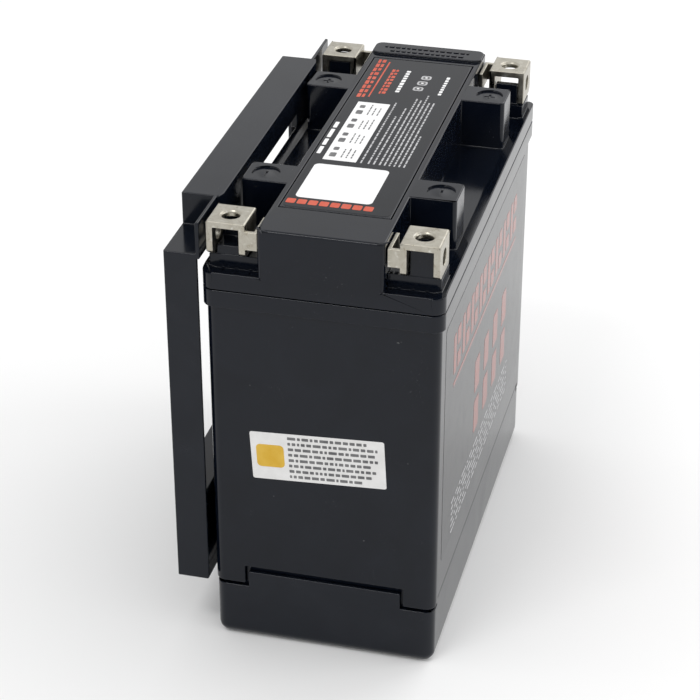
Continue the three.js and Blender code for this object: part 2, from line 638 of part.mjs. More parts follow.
function buildTerminal(name, sideX, sideY) {
  const middle = CENTRE_X + sideX * TERMINAL_OFFSET;
  const outerY = sideY * TERMINAL_OUTER_Y;
  const innerY = sideY * (TERMINAL_OUTER_Y - TERMINAL_LENGTH);
  const ys = [Math.min(outerY, innerY), Math.max(outerY, innerY)];
  const channel = alongY(channelProfile(middle), ...ys);
  const legInner = middle - sideX * (TERMINAL_HALF_WIDTH - 1);
  const wallX = CENTRE_X + sideX * (PLATEAU_HALF_WIDTH + GAP);
  const tailBack = outerY - sideY * TAIL_THICKNESS;
  const tailEnd = outerY - sideY * TAIL_LENGTH;
  const tailAcross = box(wallX, legInner, outerY, tailBack, TAIL_BOTTOM, TAIL_TOP);
  const tailAlong = box(wallX, wallX + sideX * TAIL_THICKNESS, outerY, tailEnd, TAIL_BOTTOM, TAIL_TOP);
  const holeY = (outerY + innerY) / 2;
  const topHole = discZ(middle, holeY, TERMINAL_HOLE, LEG_TIP, TOP_HEIGHT + 1);
  const legOuter = middle + sideX * (TERMINAL_HALF_WIDTH + 1);
  const sideHole = discX(holeY, SIDE_HOLE_HEIGHT, SIDE_HOLE, middle, legOuter);
  const sink = new THREE.CylinderGeometry(
    TERMINAL_HOLE + 2 * HOLE_CHAMFER, TERMINAL_HOLE, 2 * HOLE_CHAMFER, HOLE_SEGMENTS);
  sink.rotateX(Math.PI / 2).translate(middle, holeY, TOP_HEIGHT);
  const taper = polygon([
    [outerY + sideY, LEG_BOTTOM - 1], [outerY - sideY * LEG_TAPER, LEG_BOTTOM - 1],
    [outerY - sideY * LEG_TAPER, LEG_BOTTOM], [outerY, LEG_TIP], [outerY + sideY, LEG_TIP],
  ]);
  const tip = alongX(taper, middle - TERMINAL_HALF_WIDTH - 1, middle + TERMINAL_HALF_WIDTH + 1);
  const solid = carve([channel, tailAcross, tailAlong], [topHole, sideHole, sink, tip]);
  addPiece(name, toGeometry(solid), nickel);
}

function buildConductors() {
  for (const [end, sign] of [[-1, 'negative'], [1, 'positive']]) {
    buildTerminal(`${sign}_terminal_left`, -1, end);
    buildTerminal(`${sign}_terminal_right`, 1, end);
    const linkX = [CENTRE_X - PLATEAU_HALF_WIDTH, CENTRE_X + PLATEAU_HALF_WIDTH];
    const linkY = LINK_Y.map((y) => end * y);
    addPiece(`${sign}_link`, box(...linkX, ...linkY, LINK_BOTTOM, LINK_TOP), lead);
    const postX = CENTRE_X + postSide(end) * STRAP_OFFSET;
    const postY = end * POST_Y;
    const post = discZ(postX, postY, POST_RADIUS, STRAP_TOP + GAP, LINK_BOTTOM - GAP);
    addPiece(`${sign}_post`, post, lead);
    const ring = new THREE.Shape().absarc(postX, postY, SEAL_RADIUS, 0, 2 * Math.PI, false);
    const bore = new THREE.Path().absarc(postX, postY, POST_RADIUS + GAP, 0, 2 * Math.PI, true);
    ring.holes.push(bore);
    const seal = alongZ(ring, BRIDGE_TOP + GAP, BRIDGE_TOP + GAP + SEAL_HEIGHT, 8);
    addPiece(`${sign}_post_seal`, seal, sealant);
  }
}

// ---- Spacers ---------------------------------------------------------------------------

function buildBottomSpacer() {
  const halfX = BODY_HALF_WIDTH - TRAY_INSET;
  const halfY = BODY_HALF_LENGTH - TRAY_INSET;
  const radius = TRAY_EDGE_RADIUS;
  const outline = roundedRectangle(halfX, halfY, CORNER_RADIUS, CENTRE_X);
  const options = {
    depth: TRAY_TAB_TOP, bevelEnabled: true, bevelThickness: radius, bevelSize: radius - 0.05,
    bevelOffset: -radius + 0.05, bevelSegments: 4, curveSegments: 4,
  };
  const block = new THREE.ExtrudeGeometry(outline, options).translate(0, 0, radius);
  const x = (offset) => CENTRE_X + offset;
  const far = HALF_LENGTH + 1;
  const high = 2 * TRAY_TAB_TOP;
  const removed = [box(x(-HALF_WIDTH), x(HALF_WIDTH), -far, far, TRAY_TAB_TOP, high)];
  const innerX = FOOT_HALF_WIDTH + GAP;
  const innerY = FOOT_HALF_LENGTH + GAP;
  const deck = CASE_BOTTOM - GAP;
  removed.push(box(x(-innerX), x(innerX), -innerY, innerY, deck, high));
  for (const side of [-1, 1]) {
    const flank = [x(side * TRAY_TAB_HALF_WIDTH), x(side * HALF_WIDTH)];
    const reach = FOOT_SIDE_HALF_LENGTH - GAP;
    removed.push(box(...flank, reach, far, TRAY_END_TOP, high));
    removed.push(box(...flank, -far, -reach, TRAY_END_TOP, high));
    removed.push(box(...flank, -far, far, TRAY_SIDE_TOP, high));
  }
  const stepX = (2 * innerX - (TRAY_POCKETS_X + 1) * TRAY_RIB) / TRAY_POCKETS_X;
  const stepY = (2 * innerY - (TRAY_POCKETS_Y + 1) * TRAY_RIB) / TRAY_POCKETS_Y;
  for (let column = 0; column < TRAY_POCKETS_X; column++) {
    const x0 = -innerX + TRAY_RIB + column * (stepX + TRAY_RIB);
    for (let row = 0; row < TRAY_POCKETS_Y; row++) {
      const y0 = -innerY + TRAY_RIB + row * (stepY + TRAY_RIB);
      removed.push(box(x(x0), x(x0 + stepX), y0, y0 + stepY, TRAY_BASE, deck + 1));
    }
  }
  addPiece('bottom_spacer', toGeometry(carve([block], removed)), spacerBlack);
}

function buildSideSpacer() {
  const outX = FRAME_OUTER_X;
  const inX = FRAME_INNER_X;
  const end = FRAME_HALF_LENGTH;
  const plate = FRAME_PLATE;
  const bar = polygon([
    [outX, -BAR_HALF_LENGTH], [BAR_INNER_X - BAR_CHAMFER_X, -BAR_HALF_LENGTH],
    [BAR_INNER_X, -BAR_HALF_LENGTH + BAR_CHAMFER_Y], [BAR_INNER_X, BAR_HALF_LENGTH - BAR_CHAMFER_Y],
    [BAR_INNER_X - BAR_CHAMFER_X, BAR_HALF_LENGTH], [outX, BAR_HALF_LENGTH],
  ]);
  const added = [
    box(outX, inX, -end, -end + plate, FRAME_BOTTOM, FRAME_TOP),
    box(outX, inX, end - plate, end, FRAME_BOTTOM, FRAME_TOP),
    box(outX, inX, -end, end, FRAME_BOTTOM, FRAME_BOTTOM + plate),
    box(outX, inX, -end, end, FRAME_TOP - plate, FRAME_TOP),
    box(outX, inX, -end, end, WINDOW_BOTTOM - plate, WINDOW_BOTTOM),
    box(...WEB_X, -end, end, FRAME_BOTTOM, WINDOW_BOTTOM),
    box(LIP_X, inX, -end, end, FRAME_BOTTOM, LIP_TOP),
    alongZ(bar, FRAME_TOP - plate, TOP_HEIGHT),
  ];
  for (const side of [-1, 1]) {
    const fin = [side * (BAR_HALF_LENGTH - 1), side * end];
    added.push(box(...FIN_X, ...fin, FRAME_TOP - plate, TOP_HEIGHT));
    const flange = [side * FLANGE_START, side * end];
    added.push(box(outX, outX + plate, ...flange, WINDOW_BOTTOM - plate, FRAME_TOP));
  }
  for (let rib = 1; rib <= WEB_RIBS; rib++) {
    const y = -end + (2 * end * rib) / (WEB_RIBS + 1);
    added.push(box(outX, inX, y - plate / 2, y + plate / 2, FRAME_BOTTOM, WINDOW_BOTTOM));
  }
  const inside = BAR_HALF_LENGTH - plate;
  const lipLength = BAR_HALF_LENGTH - BAR_CHAMFER_Y;
  added.push(box(inX, BAR_INNER_X, -lipLength, lipLength, LIP_BOTTOM, FRAME_TOP));
  const notchX = [inX - GAP, BAR_INNER_X + GAP];
  const notchY = [-LIP_NOTCH_HALF_LENGTH, LIP_NOTCH_HALF_LENGTH];
  const removed = [
    box(outX + plate, inX, -inside, inside, WINDOW_BOTTOM + 1, TOP_HEIGHT - plate),
    box(...notchX, ...notchY, LIP_BOTTOM - GAP, LIP_NOTCH_TOP),
  ];
  addPiece('side_spacer', toGeometry(carve(added, removed)), spacerBlack);
}

// ---- Labels ----------------------------------------------------------------------------

function buildLabels() {
  const topX = [CENTRE_X - TOP_LABEL_HALF_WIDTH, CENTRE_X + TOP_LABEL_HALF_WIDTH];
  const topZ = TOP_HEIGHT + LABEL_GAP;
  const top = box(...topX, ...TOP_LABEL_Y, topZ, topZ + LABEL_THICKNESS);
  addPiece('top_label', top, labelBlack);
  const end = new THREE.BoxGeometry(END_LABEL_SIZE[0], LABEL_THICKNESS, END_LABEL_SIZE[1]);
  const endY = -BODY_HALF_LENGTH - LABEL_GAP - LABEL_THICKNESS / 2;
  end.rotateY(-THREE.MathUtils.degToRad(END_LABEL_TILT));
  end.translate(END_LABEL_CENTRE[0], endY, END_LABEL_CENTRE[1]);
  addPiece('end_label', end, labelWhite);
  const sideX = CENTRE_X + BODY_HALF_WIDTH + LABEL_GAP;
  const side = box(sideX, sideX + LABEL_THICKNESS, ...SIDE_LABEL_Y, ...SIDE_LABEL_Z);
  addPiece('side_label', side, labelBlack);
}

buildCase();
buildCells();
buildLid();
buildVentCover();
buildValveCaps();
buildConductors();
buildBottomSpacer();
buildSideSpacer();
buildLabels();

export default group;
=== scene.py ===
"""Black motorcycle battery with four channel terminals, a side spacer and a bottom spacer.

Metres, +Z up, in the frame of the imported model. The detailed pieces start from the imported
solids, get rounded edges, engraving, prints and materials, and ride on the same bodies.
"""
import json
import math
import random

import bmesh
import bpy
from mathutils import Matrix, Vector


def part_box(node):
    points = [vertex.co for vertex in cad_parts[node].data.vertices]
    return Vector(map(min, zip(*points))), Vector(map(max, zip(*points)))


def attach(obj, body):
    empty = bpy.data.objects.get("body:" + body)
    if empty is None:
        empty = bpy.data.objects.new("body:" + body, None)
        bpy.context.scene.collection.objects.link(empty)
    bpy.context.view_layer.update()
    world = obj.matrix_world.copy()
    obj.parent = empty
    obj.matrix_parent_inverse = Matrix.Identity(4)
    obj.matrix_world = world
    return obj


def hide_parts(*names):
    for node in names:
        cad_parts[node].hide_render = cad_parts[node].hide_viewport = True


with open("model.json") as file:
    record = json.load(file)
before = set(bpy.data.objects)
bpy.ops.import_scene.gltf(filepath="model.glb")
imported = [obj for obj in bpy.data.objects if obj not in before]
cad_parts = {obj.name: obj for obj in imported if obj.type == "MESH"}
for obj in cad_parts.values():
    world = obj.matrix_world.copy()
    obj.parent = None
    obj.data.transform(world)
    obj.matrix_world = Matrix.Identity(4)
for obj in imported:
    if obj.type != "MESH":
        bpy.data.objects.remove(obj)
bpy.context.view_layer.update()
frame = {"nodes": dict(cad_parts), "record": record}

MM = 0.001
SEED = 7

# ---- Camera ---------------------------------------------------------------------------------

CAMERA_PLACE = Vector((0.1790, -0.7222, 0.5082))
CAMERA_TARGET = Vector((-0.00524, 0.0, 0.08059))
CAMERA_LENS = 111.9
CAMERA_SENSOR = 36.0

# ---- Studio ---------------------------------------------------------------------------------

FLOOR_HALF_SIZE = 6.0
FLOOR_DROP = 0.2 * MM
SKY_COLOUR = (1.0, 1.0, 1.0, 1.0)
SKY_STRENGTH = 0.95
LIGHT_TARGET = (0.0, 0.0, 0.09)
# name, place, width and height of the panel, power in watts
LIGHTS = (
    ("key_light", (-0.30, -0.70, 1.27), (0.45, 0.18), 3.0),
    ("back_light", (0.5, 1.1, 1.1), (1.2, 0.8), 5.0),
    ("side_light", (1.6, 0.3, 0.8), (0.8, 0.8), 6.0),
)

# ---- Edge radii -----------------------------------------------------------------------------

SHARP_ANGLE = math.radians(32)
FLAT_ANGLE = math.radians(0.5)
MERGE_DISTANCE = 2e-6
CASE_EDGE = 0.5 * MM
LID_EDGE = 0.45 * MM
PLATEAU_END_EDGE = 1.1 * MM
RIB_EDGE = 0.18 * MM
RAIL_EDGE = 0.8 * MM
PAD_BASE_EDGE = 0.12 * MM
COVER_EDGE = 0.35 * MM
SPACER_EDGE = 0.45 * MM
TERMINAL_EDGE = 0.3 * MM
INNER_EDGE = 0.25 * MM
EDGE_SEGMENTS = 3
NORMAL_WEIGHT = 60
# an edge whose middle is this near to a face's plane counts as being on it
ON_FACE = 0.2 * MM

# ---- Engraved polarity marks ----------------------------------------------------------------

DISH_RADIUS = 5.2 * MM
DISH_DEPTH = 0.7 * MM
DISH_SIDES = 64
MARK_DEPTH = 1.2 * MM
MARK_LENGTH = 4.2 * MM
MARK_WIDTH = 0.9 * MM
CUTTER_RISE = 1 * MM

# ---- Surfaces -------------------------------------------------------------------------------

PLASTIC_IOR = 1.35
FILM_IOR = 1.30
DUST_COLOUR = (0.16, 0.165, 0.175, 1.0)
DULL_NICKEL = (0.37, 0.345, 0.285, 1.0)
CLEAN_NICKEL = (0.49, 0.47, 0.41, 1.0)
STAIN_COLOUR = (0.20, 0.165, 0.11, 1.0)
RUBBED_NICKEL = (0.74, 0.73, 0.68, 1.0)

# ---- Prints: heights over the surface, and corners ------------------------------------------

FILM_HEIGHT = 0.06 * MM
INK_HEIGHT = 0.04 * MM
INK_SINK = 0.03 * MM
EMBOSS_HEIGHT = 0.3 * MM
# the lift of ink that is printed over other ink
STACKED = INK_HEIGHT * 0.8
CORNER_STEPS = 6
# a corner's radius is at most the shorter side over this
CORNER_LIMIT = 2.01


# ---- Node helpers ---------------------------------------------------------------------------


def new_node(tree, kind, inputs=None, **settings):
    made = tree.nodes.new(kind)
    for key, value in settings.items():
        setattr(made, key, value)
    for key, value in (inputs or {}).items():
        if isinstance(value, bpy.types.NodeSocket):
            tree.links.new(value, made.inputs[key])
        else:
            made.inputs[key].default_value = value
    return made


def start_material(name):
    made = bpy.data.materials.new(name)
    made.use_nodes = True
    tree = made.node_tree
    shader = tree.nodes["Principled BSDF"]
    return made, tree, shader


def object_place(tree, scale=(1, 1, 1)):
    """Position on the object, stretched by scale, so that a texture stays on it."""
    source = new_node(tree, "ShaderNodeTexCoord")
    mapping = new_node(tree, "ShaderNodeMapping", {"Vector": source.outputs["Object"]})
    mapping.inputs["Scale"].default_value = scale
    return mapping.outputs["Vector"]


def noise(tree, place, scale, detail=3.0, roughness=0.5, distortion=0.0):
    made = new_node(tree, "ShaderNodeTexNoise", {
        "Vector": place, "Scale": scale, "Detail": detail, "Roughness": roughness,
        "Distortion": distortion,
    })
    return made.outputs["Fac"]


def ramp(tree, value, low, high, first, last):
    """value between low and high becomes first to last."""
    made = new_node(tree, "ShaderNodeMapRange", {
        "Value": value, "From Min": low, "From Max": high, "To Min": first, "To Max": last,
    })
    return made.outputs["Result"]


def mix_colour(tree, factor, first, second):
    made = new_node(tree, "ShaderNodeMix", data_type="RGBA")
    sockets = (made.inputs[0], made.inputs[6], made.inputs[7])
    for socket, value in zip(sockets, (factor, first, second)):
        if isinstance(value, bpy.types.NodeSocket):
            tree.links.new(value, socket)
        else:
            socket.default_value = value
    return made.outputs[2]


def bump(tree, height, distance, strength=1.0, normal=None):
    made = new_node(tree, "ShaderNodeBump", {
        "Height": height, "Distance": distance, "Strength": strength,
    })
    if normal is not None:
        tree.links.new(normal, made.inputs["Normal"])
    return made.outputs["Normal"]


def combine(tree, operation, first, second):
    made = new_node(tree, "ShaderNodeMath", {0: first, 1: second}, operation=operation)
    return made.outputs["Value"]


# ---- Materials ------------------------------------------------------------------------------


def black_plastic(name, dark, pale, rough, wave):
    """Glossy moulded plastic: slight sink waves, smudges, hairline scratches and a little dust."""
    made, tree, shader = start_material(name)
    place = object_place(tree)
    smudge = noise(tree, place, 38.0, 5.0, 0.6, 0.8)
    colour = mix_colour(tree, ramp(tree, smudge, 0.35, 0.7, 0.0, 1.0), dark, pale)
    specks = noise(tree, place, 2600.0, 1.0)
    patches = noise(tree, place, 60.0, 3.0)
    dust = combine(tree, "MULTIPLY", ramp(tree, specks, 0.74, 0.80, 0.0, 1.0),
                   ramp(tree, patches, 0.52, 0.62, 0.0, 0.5))
    colour = mix_colour(tree, dust, colour, DUST_COLOUR)
    tree.links.new(colour, shader.inputs["Base Color"])
    shine = ramp(tree, smudge, 0.3, 0.75, rough, rough + 0.11)
    shine = combine(tree, "ADD", shine, combine(tree, "MULTIPLY", dust, 0.4))
    tree.links.new(shine, shader.inputs["Roughness"])
    hair = noise(tree, object_place(tree, (40, 40, 1200)), 9.0, 2.0)
    scratch = ramp(tree, hair, 0.70, 0.74, 0.0, 1.0)
    sink = noise(tree, place, 22.0, 1.0)
    grain = noise(tree, place, 4200.0, 2.0)
    normal = bump(tree, sink, wave)
    normal = bump(tree, grain, 0.0000035, 1.0, normal)
    normal = bump(tree, scratch, 0.000002, 1.0, normal)
    tree.links.new(normal, shader.inputs["Normal"])
    shader.inputs["IOR"].default_value = PLASTIC_IOR
    return made


def nickel(name):
    """Warm nickel plate: rolling lines, small pits, dull patches, dark stains, rubbed spots."""
    made, tree, shader = start_material(name)
    place = object_place(tree)
    cloud = noise(tree, place, 260.0, 5.0, 0.6, 0.6)
    colour = mix_colour(tree, ramp(tree, cloud, 0.3, 0.7, 0.0, 1.0),
                        DULL_NICKEL, CLEAN_NICKEL)
    stain = noise(tree, place, 700.0, 4.0, 0.65, 1.2)
    colour = mix_colour(tree, ramp(tree, stain, 0.56, 0.72, 0.0, 0.6), colour, STAIN_COLOUR)
    rub = noise(tree, object_place(tree, (1, 5, 1)), 420.0, 3.0, 0.6, 0.4)
    colour = mix_colour(tree, ramp(tree, rub, 0.60, 0.70, 0.0, 0.5), colour, RUBBED_NICKEL)
    tree.links.new(colour, shader.inputs["Base Color"])
    shader.inputs["Metallic"].default_value = 1.0
    tree.links.new(ramp(tree, cloud, 0.3, 0.72, 0.26, 0.44), shader.inputs["Roughness"])
    lines = noise(tree, object_place(tree, (1, 14, 1)), 900.0, 2.0)
    pits = ramp(tree, noise(tree, place, 1500.0, 1.0), 0.24, 0.32, 0.0, 1.0)
    normal = bump(tree, lines, 0.000006)
    normal = bump(tree, pits, 0.00003, 0.6, normal)
    normal = bump(tree, cloud, 0.00006, 0.5, normal)
    tree.links.new(normal, shader.inputs["Normal"])
    return made


def grainy(name, first, second, scale, rough, depth, metallic=0.0):
    """A two-tone matte surface with a grain: paste, cast lead, felt, rubber or resin."""
    made, tree, shader = start_material(name)
    place = object_place(tree)
    cloud = noise(tree, place, scale, 6.0, 0.65, 0.4)
    colour = mix_colour(tree, ramp(tree, cloud, 0.3, 0.7, 0.0, 1.0), first, second)
    tree.links.new(colour, shader.inputs["Base Color"])
    shine = ramp(tree, cloud, 0.3, 0.7, rough - 0.08, rough + 0.08)
    tree.links.new(shine, shader.inputs["Roughness"])
    shader.inputs["Metallic"].default_value = metallic
    tree.links.new(bump(tree, cloud, depth), shader.inputs["Normal"])
    return made


def film(name, colour, faded, rough, ior=FILM_IOR):
    """Printed plastic film or ink, with a faint mottle and an orange-peel skin."""
    made, tree, shader = start_material(name)
    place = object_place(tree)
    mottle = noise(tree, place, 140.0, 4.0, 0.6)
    mixed = mix_colour(tree, ramp(tree, mottle, 0.35, 0.72, 0.0, 1.0), colour, faded)
    tree.links.new(mixed, shader.inputs["Base Color"])
    shine = ramp(tree, mottle, 0.3, 0.7, rough - 0.05, rough + 0.06)
    tree.links.new(shine, shader.inputs["Roughness"])
    tree.links.new(bump(tree, noise(tree, place, 1800.0, 2.0), 0.000004), shader.inputs["Normal"])
    shader.inputs["IOR"].default_value = ior
    return made


def make_materials():
    return {
        "case_plastic": black_plastic(
            "case_plastic", (0.0020, 0.0034, 0.0072, 1), (0.004, 0.0058, 0.0108, 1), 0.07, 0.00012),
        "spacer_plastic": black_plastic(
            "spacer_plastic", (0.0026, 0.0042, 0.0084, 1), (0.006, 0.008, 0.013, 1), 0.08, 0.00014),
        "nickel_plate": nickel("nickel_plate"),
        "lead": grainy("lead", (0.20, 0.21, 0.23, 1), (0.34, 0.35, 0.37, 1), 500.0, 0.5, 0.00004, 1.0),
        "positive_plate": grainy(
            "positive_plate", (0.055, 0.026, 0.018, 1), (0.11, 0.055, 0.035, 1), 900.0, 0.85, 0.00006),
        "negative_plate": grainy(
            "negative_plate", (0.17, 0.18, 0.19, 1), (0.28, 0.29, 0.30, 1), 900.0, 0.8, 0.00006),
        "glass_mat": grainy(
            "glass_mat", (0.70, 0.70, 0.66, 1), (0.86, 0.86, 0.82, 1), 1600.0, 0.9, 0.00008),
        "valve_rubber": grainy(
            "valve_rubber", (0.012, 0.012, 0.012, 1), (0.03, 0.03, 0.03, 1), 700.0, 0.72, 0.00002),
        "sealing_resin": grainy(
            "sealing_resin", (0.02, 0.018, 0.015, 1), (0.045, 0.04, 0.033, 1), 300.0, 0.4, 0.00003),
        "dark_label": film(
            "dark_label", (0.0020, 0.0032, 0.0062, 1), (0.004, 0.0055, 0.009, 1), 0.10),
        "white_label": film(
            "white_label", (0.66, 0.655, 0.645, 1), (0.74, 0.735, 0.73, 1), 0.45),
        "white_ink": film("white_ink", (0.80, 0.80, 0.80, 1), (0.86, 0.86, 0.86, 1), 0.42),
        "pale_ink": film("pale_ink", (0.42, 0.42, 0.43, 1), (0.55, 0.55, 0.56, 1), 0.42),
        "grey_ink": film("grey_ink", (0.10, 0.10, 0.105, 1), (0.20, 0.20, 0.20, 1), 0.5),
        "orange_ink": film("orange_ink", (0.52, 0.065, 0.03, 1), (0.60, 0.12, 0.07, 1), 0.38),
        "side_ink": film(
            "side_ink", (0.20, 0.022, 0.010, 1), (0.26, 0.045, 0.025, 1), 0.10, PLASTIC_IOR),
        "scuff": film("scuff", (0.045, 0.047, 0.05, 1), (0.09, 0.092, 0.095, 1), 0.5),
        "amber_ink": film("amber_ink", (0.60, 0.36, 0.035, 1), (0.66, 0.43, 0.07, 1), 0.45),
    }


materials = make_materials()


# ---- Mesh helpers ---------------------------------------------------------------------------


def add_object(name, mesh, *slots):
    made = bpy.data.objects.new(name, mesh)
    bpy.context.scene.collection.objects.link(made)
    for slot in slots:
        mesh.materials.append(materials[slot])
    return made


def clean_copy(node):
    """The node's solid as a new mesh with shared corners and few, convex faces."""
    work = bmesh.new()
    work.from_mesh(frame["nodes"][node].data)
    bmesh.ops.remove_doubles(work, verts=work.verts, dist=MERGE_DISTANCE)
    bmesh.ops.dissolve_limit(work, angle_limit=FLAT_ANGLE, verts=work.verts, edges=work.edges)
    bmesh.ops.connect_verts_concave(work, faces=work.faces)
    bmesh.ops.recalc_face_normals(work, faces=work.faces)
    return work


def weigh_edges(work, widest, width_at):
    """Marks every sharp edge with the rounding that width_at gives for its middle."""
    layers = work.edges.layers.float
    layer = layers.get("bevel_weight_edge") or layers.new("bevel_weight_edge")
    for edge in work.edges:
        if len(edge.link_faces) == 2 and edge.calc_face_angle(0.0) > SHARP_ANGLE:
            middle = (edge.verts[0].co + edge.verts[1].co) / 2
            edge[layer] = width_at(middle) / widest


def applied(piece):
    """The piece's mesh with all its modifiers in it."""
    graph = bpy.context.evaluated_depsgraph_get()
    mesh = bpy.data.meshes.new_from_object(piece.evaluated_get(graph))
    piece.modifiers.clear()
    piece.data = mesh
    return piece


def add_bevel(piece, width, method):
    bevel = piece.modifiers.new("rounded_edges", "BEVEL")
    bevel.width = width
    bevel.segments = EDGE_SEGMENTS
    bevel.limit_method = method
    bevel.angle_limit = SHARP_ANGLE
    bevel.use_clamp_overlap = method == "ANGLE"
    bevel.miter_outer = "MITER_SHARP"


def shade(piece):
    for face in piece.data.polygons:
        face.use_smooth = True
    piece.data.set_sharp_from_angle(angle=SHARP_ANGLE)
    normals = piece.modifiers.new("even_shading", "WEIGHTED_NORMAL")
    normals.weight = NORMAL_WEIGHT
    normals.keep_sharp = True


def cut(piece, cutter):
    """Takes the cutter away from the piece."""
    boolean = piece.modifiers.new("cut", "BOOLEAN")
    boolean.operation = "DIFFERENCE"
    boolean.solver = "EXACT"
    boolean.object = cutter
    applied(piece)
    bpy.data.objects.remove(cutter)


def rounded_piece(name, node, body, slot, widest, width_at=None, cutters=()):
    """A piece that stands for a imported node, with rounded edges and then any engraving."""
    work = clean_copy(node)
    weigh_edges(work, widest, width_at or (lambda middle: widest))
    mesh = bpy.data.meshes.new(name)
    work.to_mesh(mesh)
    work.free()
    piece = add_object(name, mesh, slot)
    add_bevel(piece, widest, "WEIGHT")
    applied(piece)
    for cutter in cutters:
        cut(piece, cutter)
    shade(piece)
    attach(piece, body)
    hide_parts(node)
    return piece


# ---- Prints ---------------------------------------------------------------------------------


class Print:
    """Flat inked shapes on a surface. place(u, v, height) gives the point in space."""

    def __init__(self, place, inks):
        self.place = place
        self.inks = inks
        self.work = bmesh.new()

    def outline(self, points, ink, lift=0.0):
        """A closed slab of ink over an outline that runs anticlockwise in u and v."""
        low = [self.work.verts.new(self.place(u, v, lift - INK_SINK)) for u, v in points]
        high = [self.work.verts.new(self.place(u, v, lift + INK_HEIGHT)) for u, v in points]
        faces = [self.work.faces.new(high), self.work.faces.new(low[::-1])]
        count = len(points)
        for i in range(count):
            j = (i + 1) % count
            faces.append(self.work.faces.new((low[i], low[j], high[j], high[i])))
        for face in faces:
            face.material_index = self.inks.index(ink)

    def box(self, u0, u1, v0, v1, ink, radius=0.0, lift=0.0):
        """A rectangle of ink, with round corners where radius isn't zero."""
        u0, u1 = sorted((u0, u1))
        v0, v1 = sorted((v0, v1))
        radius = min(radius, (u1 - u0) / CORNER_LIMIT, (v1 - v0) / CORNER_LIMIT)
        if radius <= 0:
            self.outline([(u0, v0), (u1, v0), (u1, v1), (u0, v1)], ink, lift)
            return
        points = []
        for cu, cv, start in ((u1, v0, -90), (u1, v1, 0), (u0, v1, 90), (u0, v0, 180)):
            mu = cu - math.copysign(radius, cu - (u0 + u1) / 2)
            mv = cv - math.copysign(radius, cv - (v0 + v1) / 2)
            for step in range(CORNER_STEPS + 1):
                angle = math.radians(start + 90 * step / CORNER_STEPS)
                points.append((mu + radius * math.cos(angle), mv + radius * math.sin(angle)))
        self.outline(points, ink, lift)

    def finish(self, name, body):
        bmesh.ops.recalc_face_normals(self.work, faces=self.work.faces)
        mesh = bpy.data.meshes.new(name)
        self.work.to_mesh(mesh)
        self.work.free()
        piece = add_object(name, mesh, *self.inks)
        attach(piece, body)
        return piece


def word_lengths(rng, total, shortest, longest, gap):
    """Lengths of plain bars that fill a row like words do, as pairs of start and end."""
    at = 0.0
    spans = []
    while at < total - shortest:
        length = min(rng.uniform(shortest, longest), total - at)
        spans.append((at, at + length))
        at += length + gap
    return spans


# ---- Case, lid and cover --------------------------------------------------------------------

lid_low, lid_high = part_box("lid")
case_low, case_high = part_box("case")
centre_x = (lid_low.x + lid_high.x) / 2
lid_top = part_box("vent_cover")[1].z
pad_top = lid_high.z
RIM_STEP = 1.2 * MM
# where lid_edge finds each kind of edge
RAIL_Z = (lid_top - 18.2 * MM, lid_top - 17.5 * MM)
LEDGE_RIB_Z = (lid_top - 19.2 * MM, lid_top - 18.3 * MM)
LEDGE_RIB_Y = (81 * MM, 87.2 * MM)
LEDGE_RIB_HALF_WIDTH = 40 * MM
PAD_END_Y = 60 * MM
PLATEAU_END_Y = lid_low.y + 1.7 * MM
# the four side blocks, from the middle of the lid
BLOCK_X = 32.2 * MM
BLOCK_Y = (-41.8 * MM, 46.2 * MM)
BLOCK_CENTRES = [(side * BLOCK_X, y) for side in (-1, 1) for y in BLOCK_Y]


def lid_edge(middle):
    """The rounding of a lid edge, from the place of the edge's middle."""
    from_centre = abs(middle.x - centre_x)
    on_top = abs(middle.z - lid_top) < ON_FACE
    if on_top and middle.y > PAD_END_Y:
        return PAD_BASE_EDGE
    if on_top and middle.y < PLATEAU_END_Y:
        return PLATEAU_END_EDGE
    at_side = abs(from_centre - lid_high.x + centre_x) < ON_FACE
    if at_side and RAIL_Z[0] < middle.z < RAIL_Z[1]:
        return RAIL_EDGE
    at_rib_height = LEDGE_RIB_Z[0] < middle.z < LEDGE_RIB_Z[1]
    at_rib_end = LEDGE_RIB_Y[0] < abs(middle.y) < LEDGE_RIB_Y[1]
    if at_rib_height and at_rib_end and from_centre < LEDGE_RIB_HALF_WIDTH:
        return RIB_EDGE
    return LID_EDGE


def as_cutter(work):
    bmesh.ops.recalc_face_normals(work, faces=work.faces)
    mesh = bpy.data.meshes.new("cutter")
    work.to_mesh(mesh)
    work.free()
    made = bpy.data.objects.new("cutter", mesh)
    bpy.context.scene.collection.objects.link(made)
    return made


def disc_cutter(x, y, radius, bottom, top):
    work = bmesh.new()
    bmesh.ops.create_cone(
        work, cap_ends=True, segments=DISH_SIDES, radius1=radius, radius2=radius, depth=top - bottom,
        matrix=Matrix.Translation((x, y, (bottom + top) / 2)))
    return as_cutter(work)


def box_cutter(x0, x1, y0, y1, z0, z1):
    work = bmesh.new()
    size = Vector((x1 - x0, y1 - y0, z1 - z0))
    middle = Vector((x0 + x1, y0 + y1, z0 + z1)) / 2
    bmesh.ops.create_cube(work, size=1.0, matrix=Matrix.LocRotScale(middle, None, size))
    return as_cutter(work)


def polarity_cutters():
    """A shallow dish with a minus or a plus in its floor, on each of the four side blocks."""
    made = []
    low = lid_top - MARK_DEPTH
    high = lid_top + CUTTER_RISE
    half = MARK_LENGTH / 2
    thin = MARK_WIDTH / 2
    for offset, y in BLOCK_CENTRES:
        x = centre_x + offset
        made.append(disc_cutter(x, y, DISH_RADIUS, lid_top - DISH_DEPTH, high))
        made.append(box_cutter(x - thin, x + thin, y - half, y + half, low, high))
        if y > 0:
            made.append(box_cutter(x - half, x + half, y - thin, y + thin, low, high))
    return made


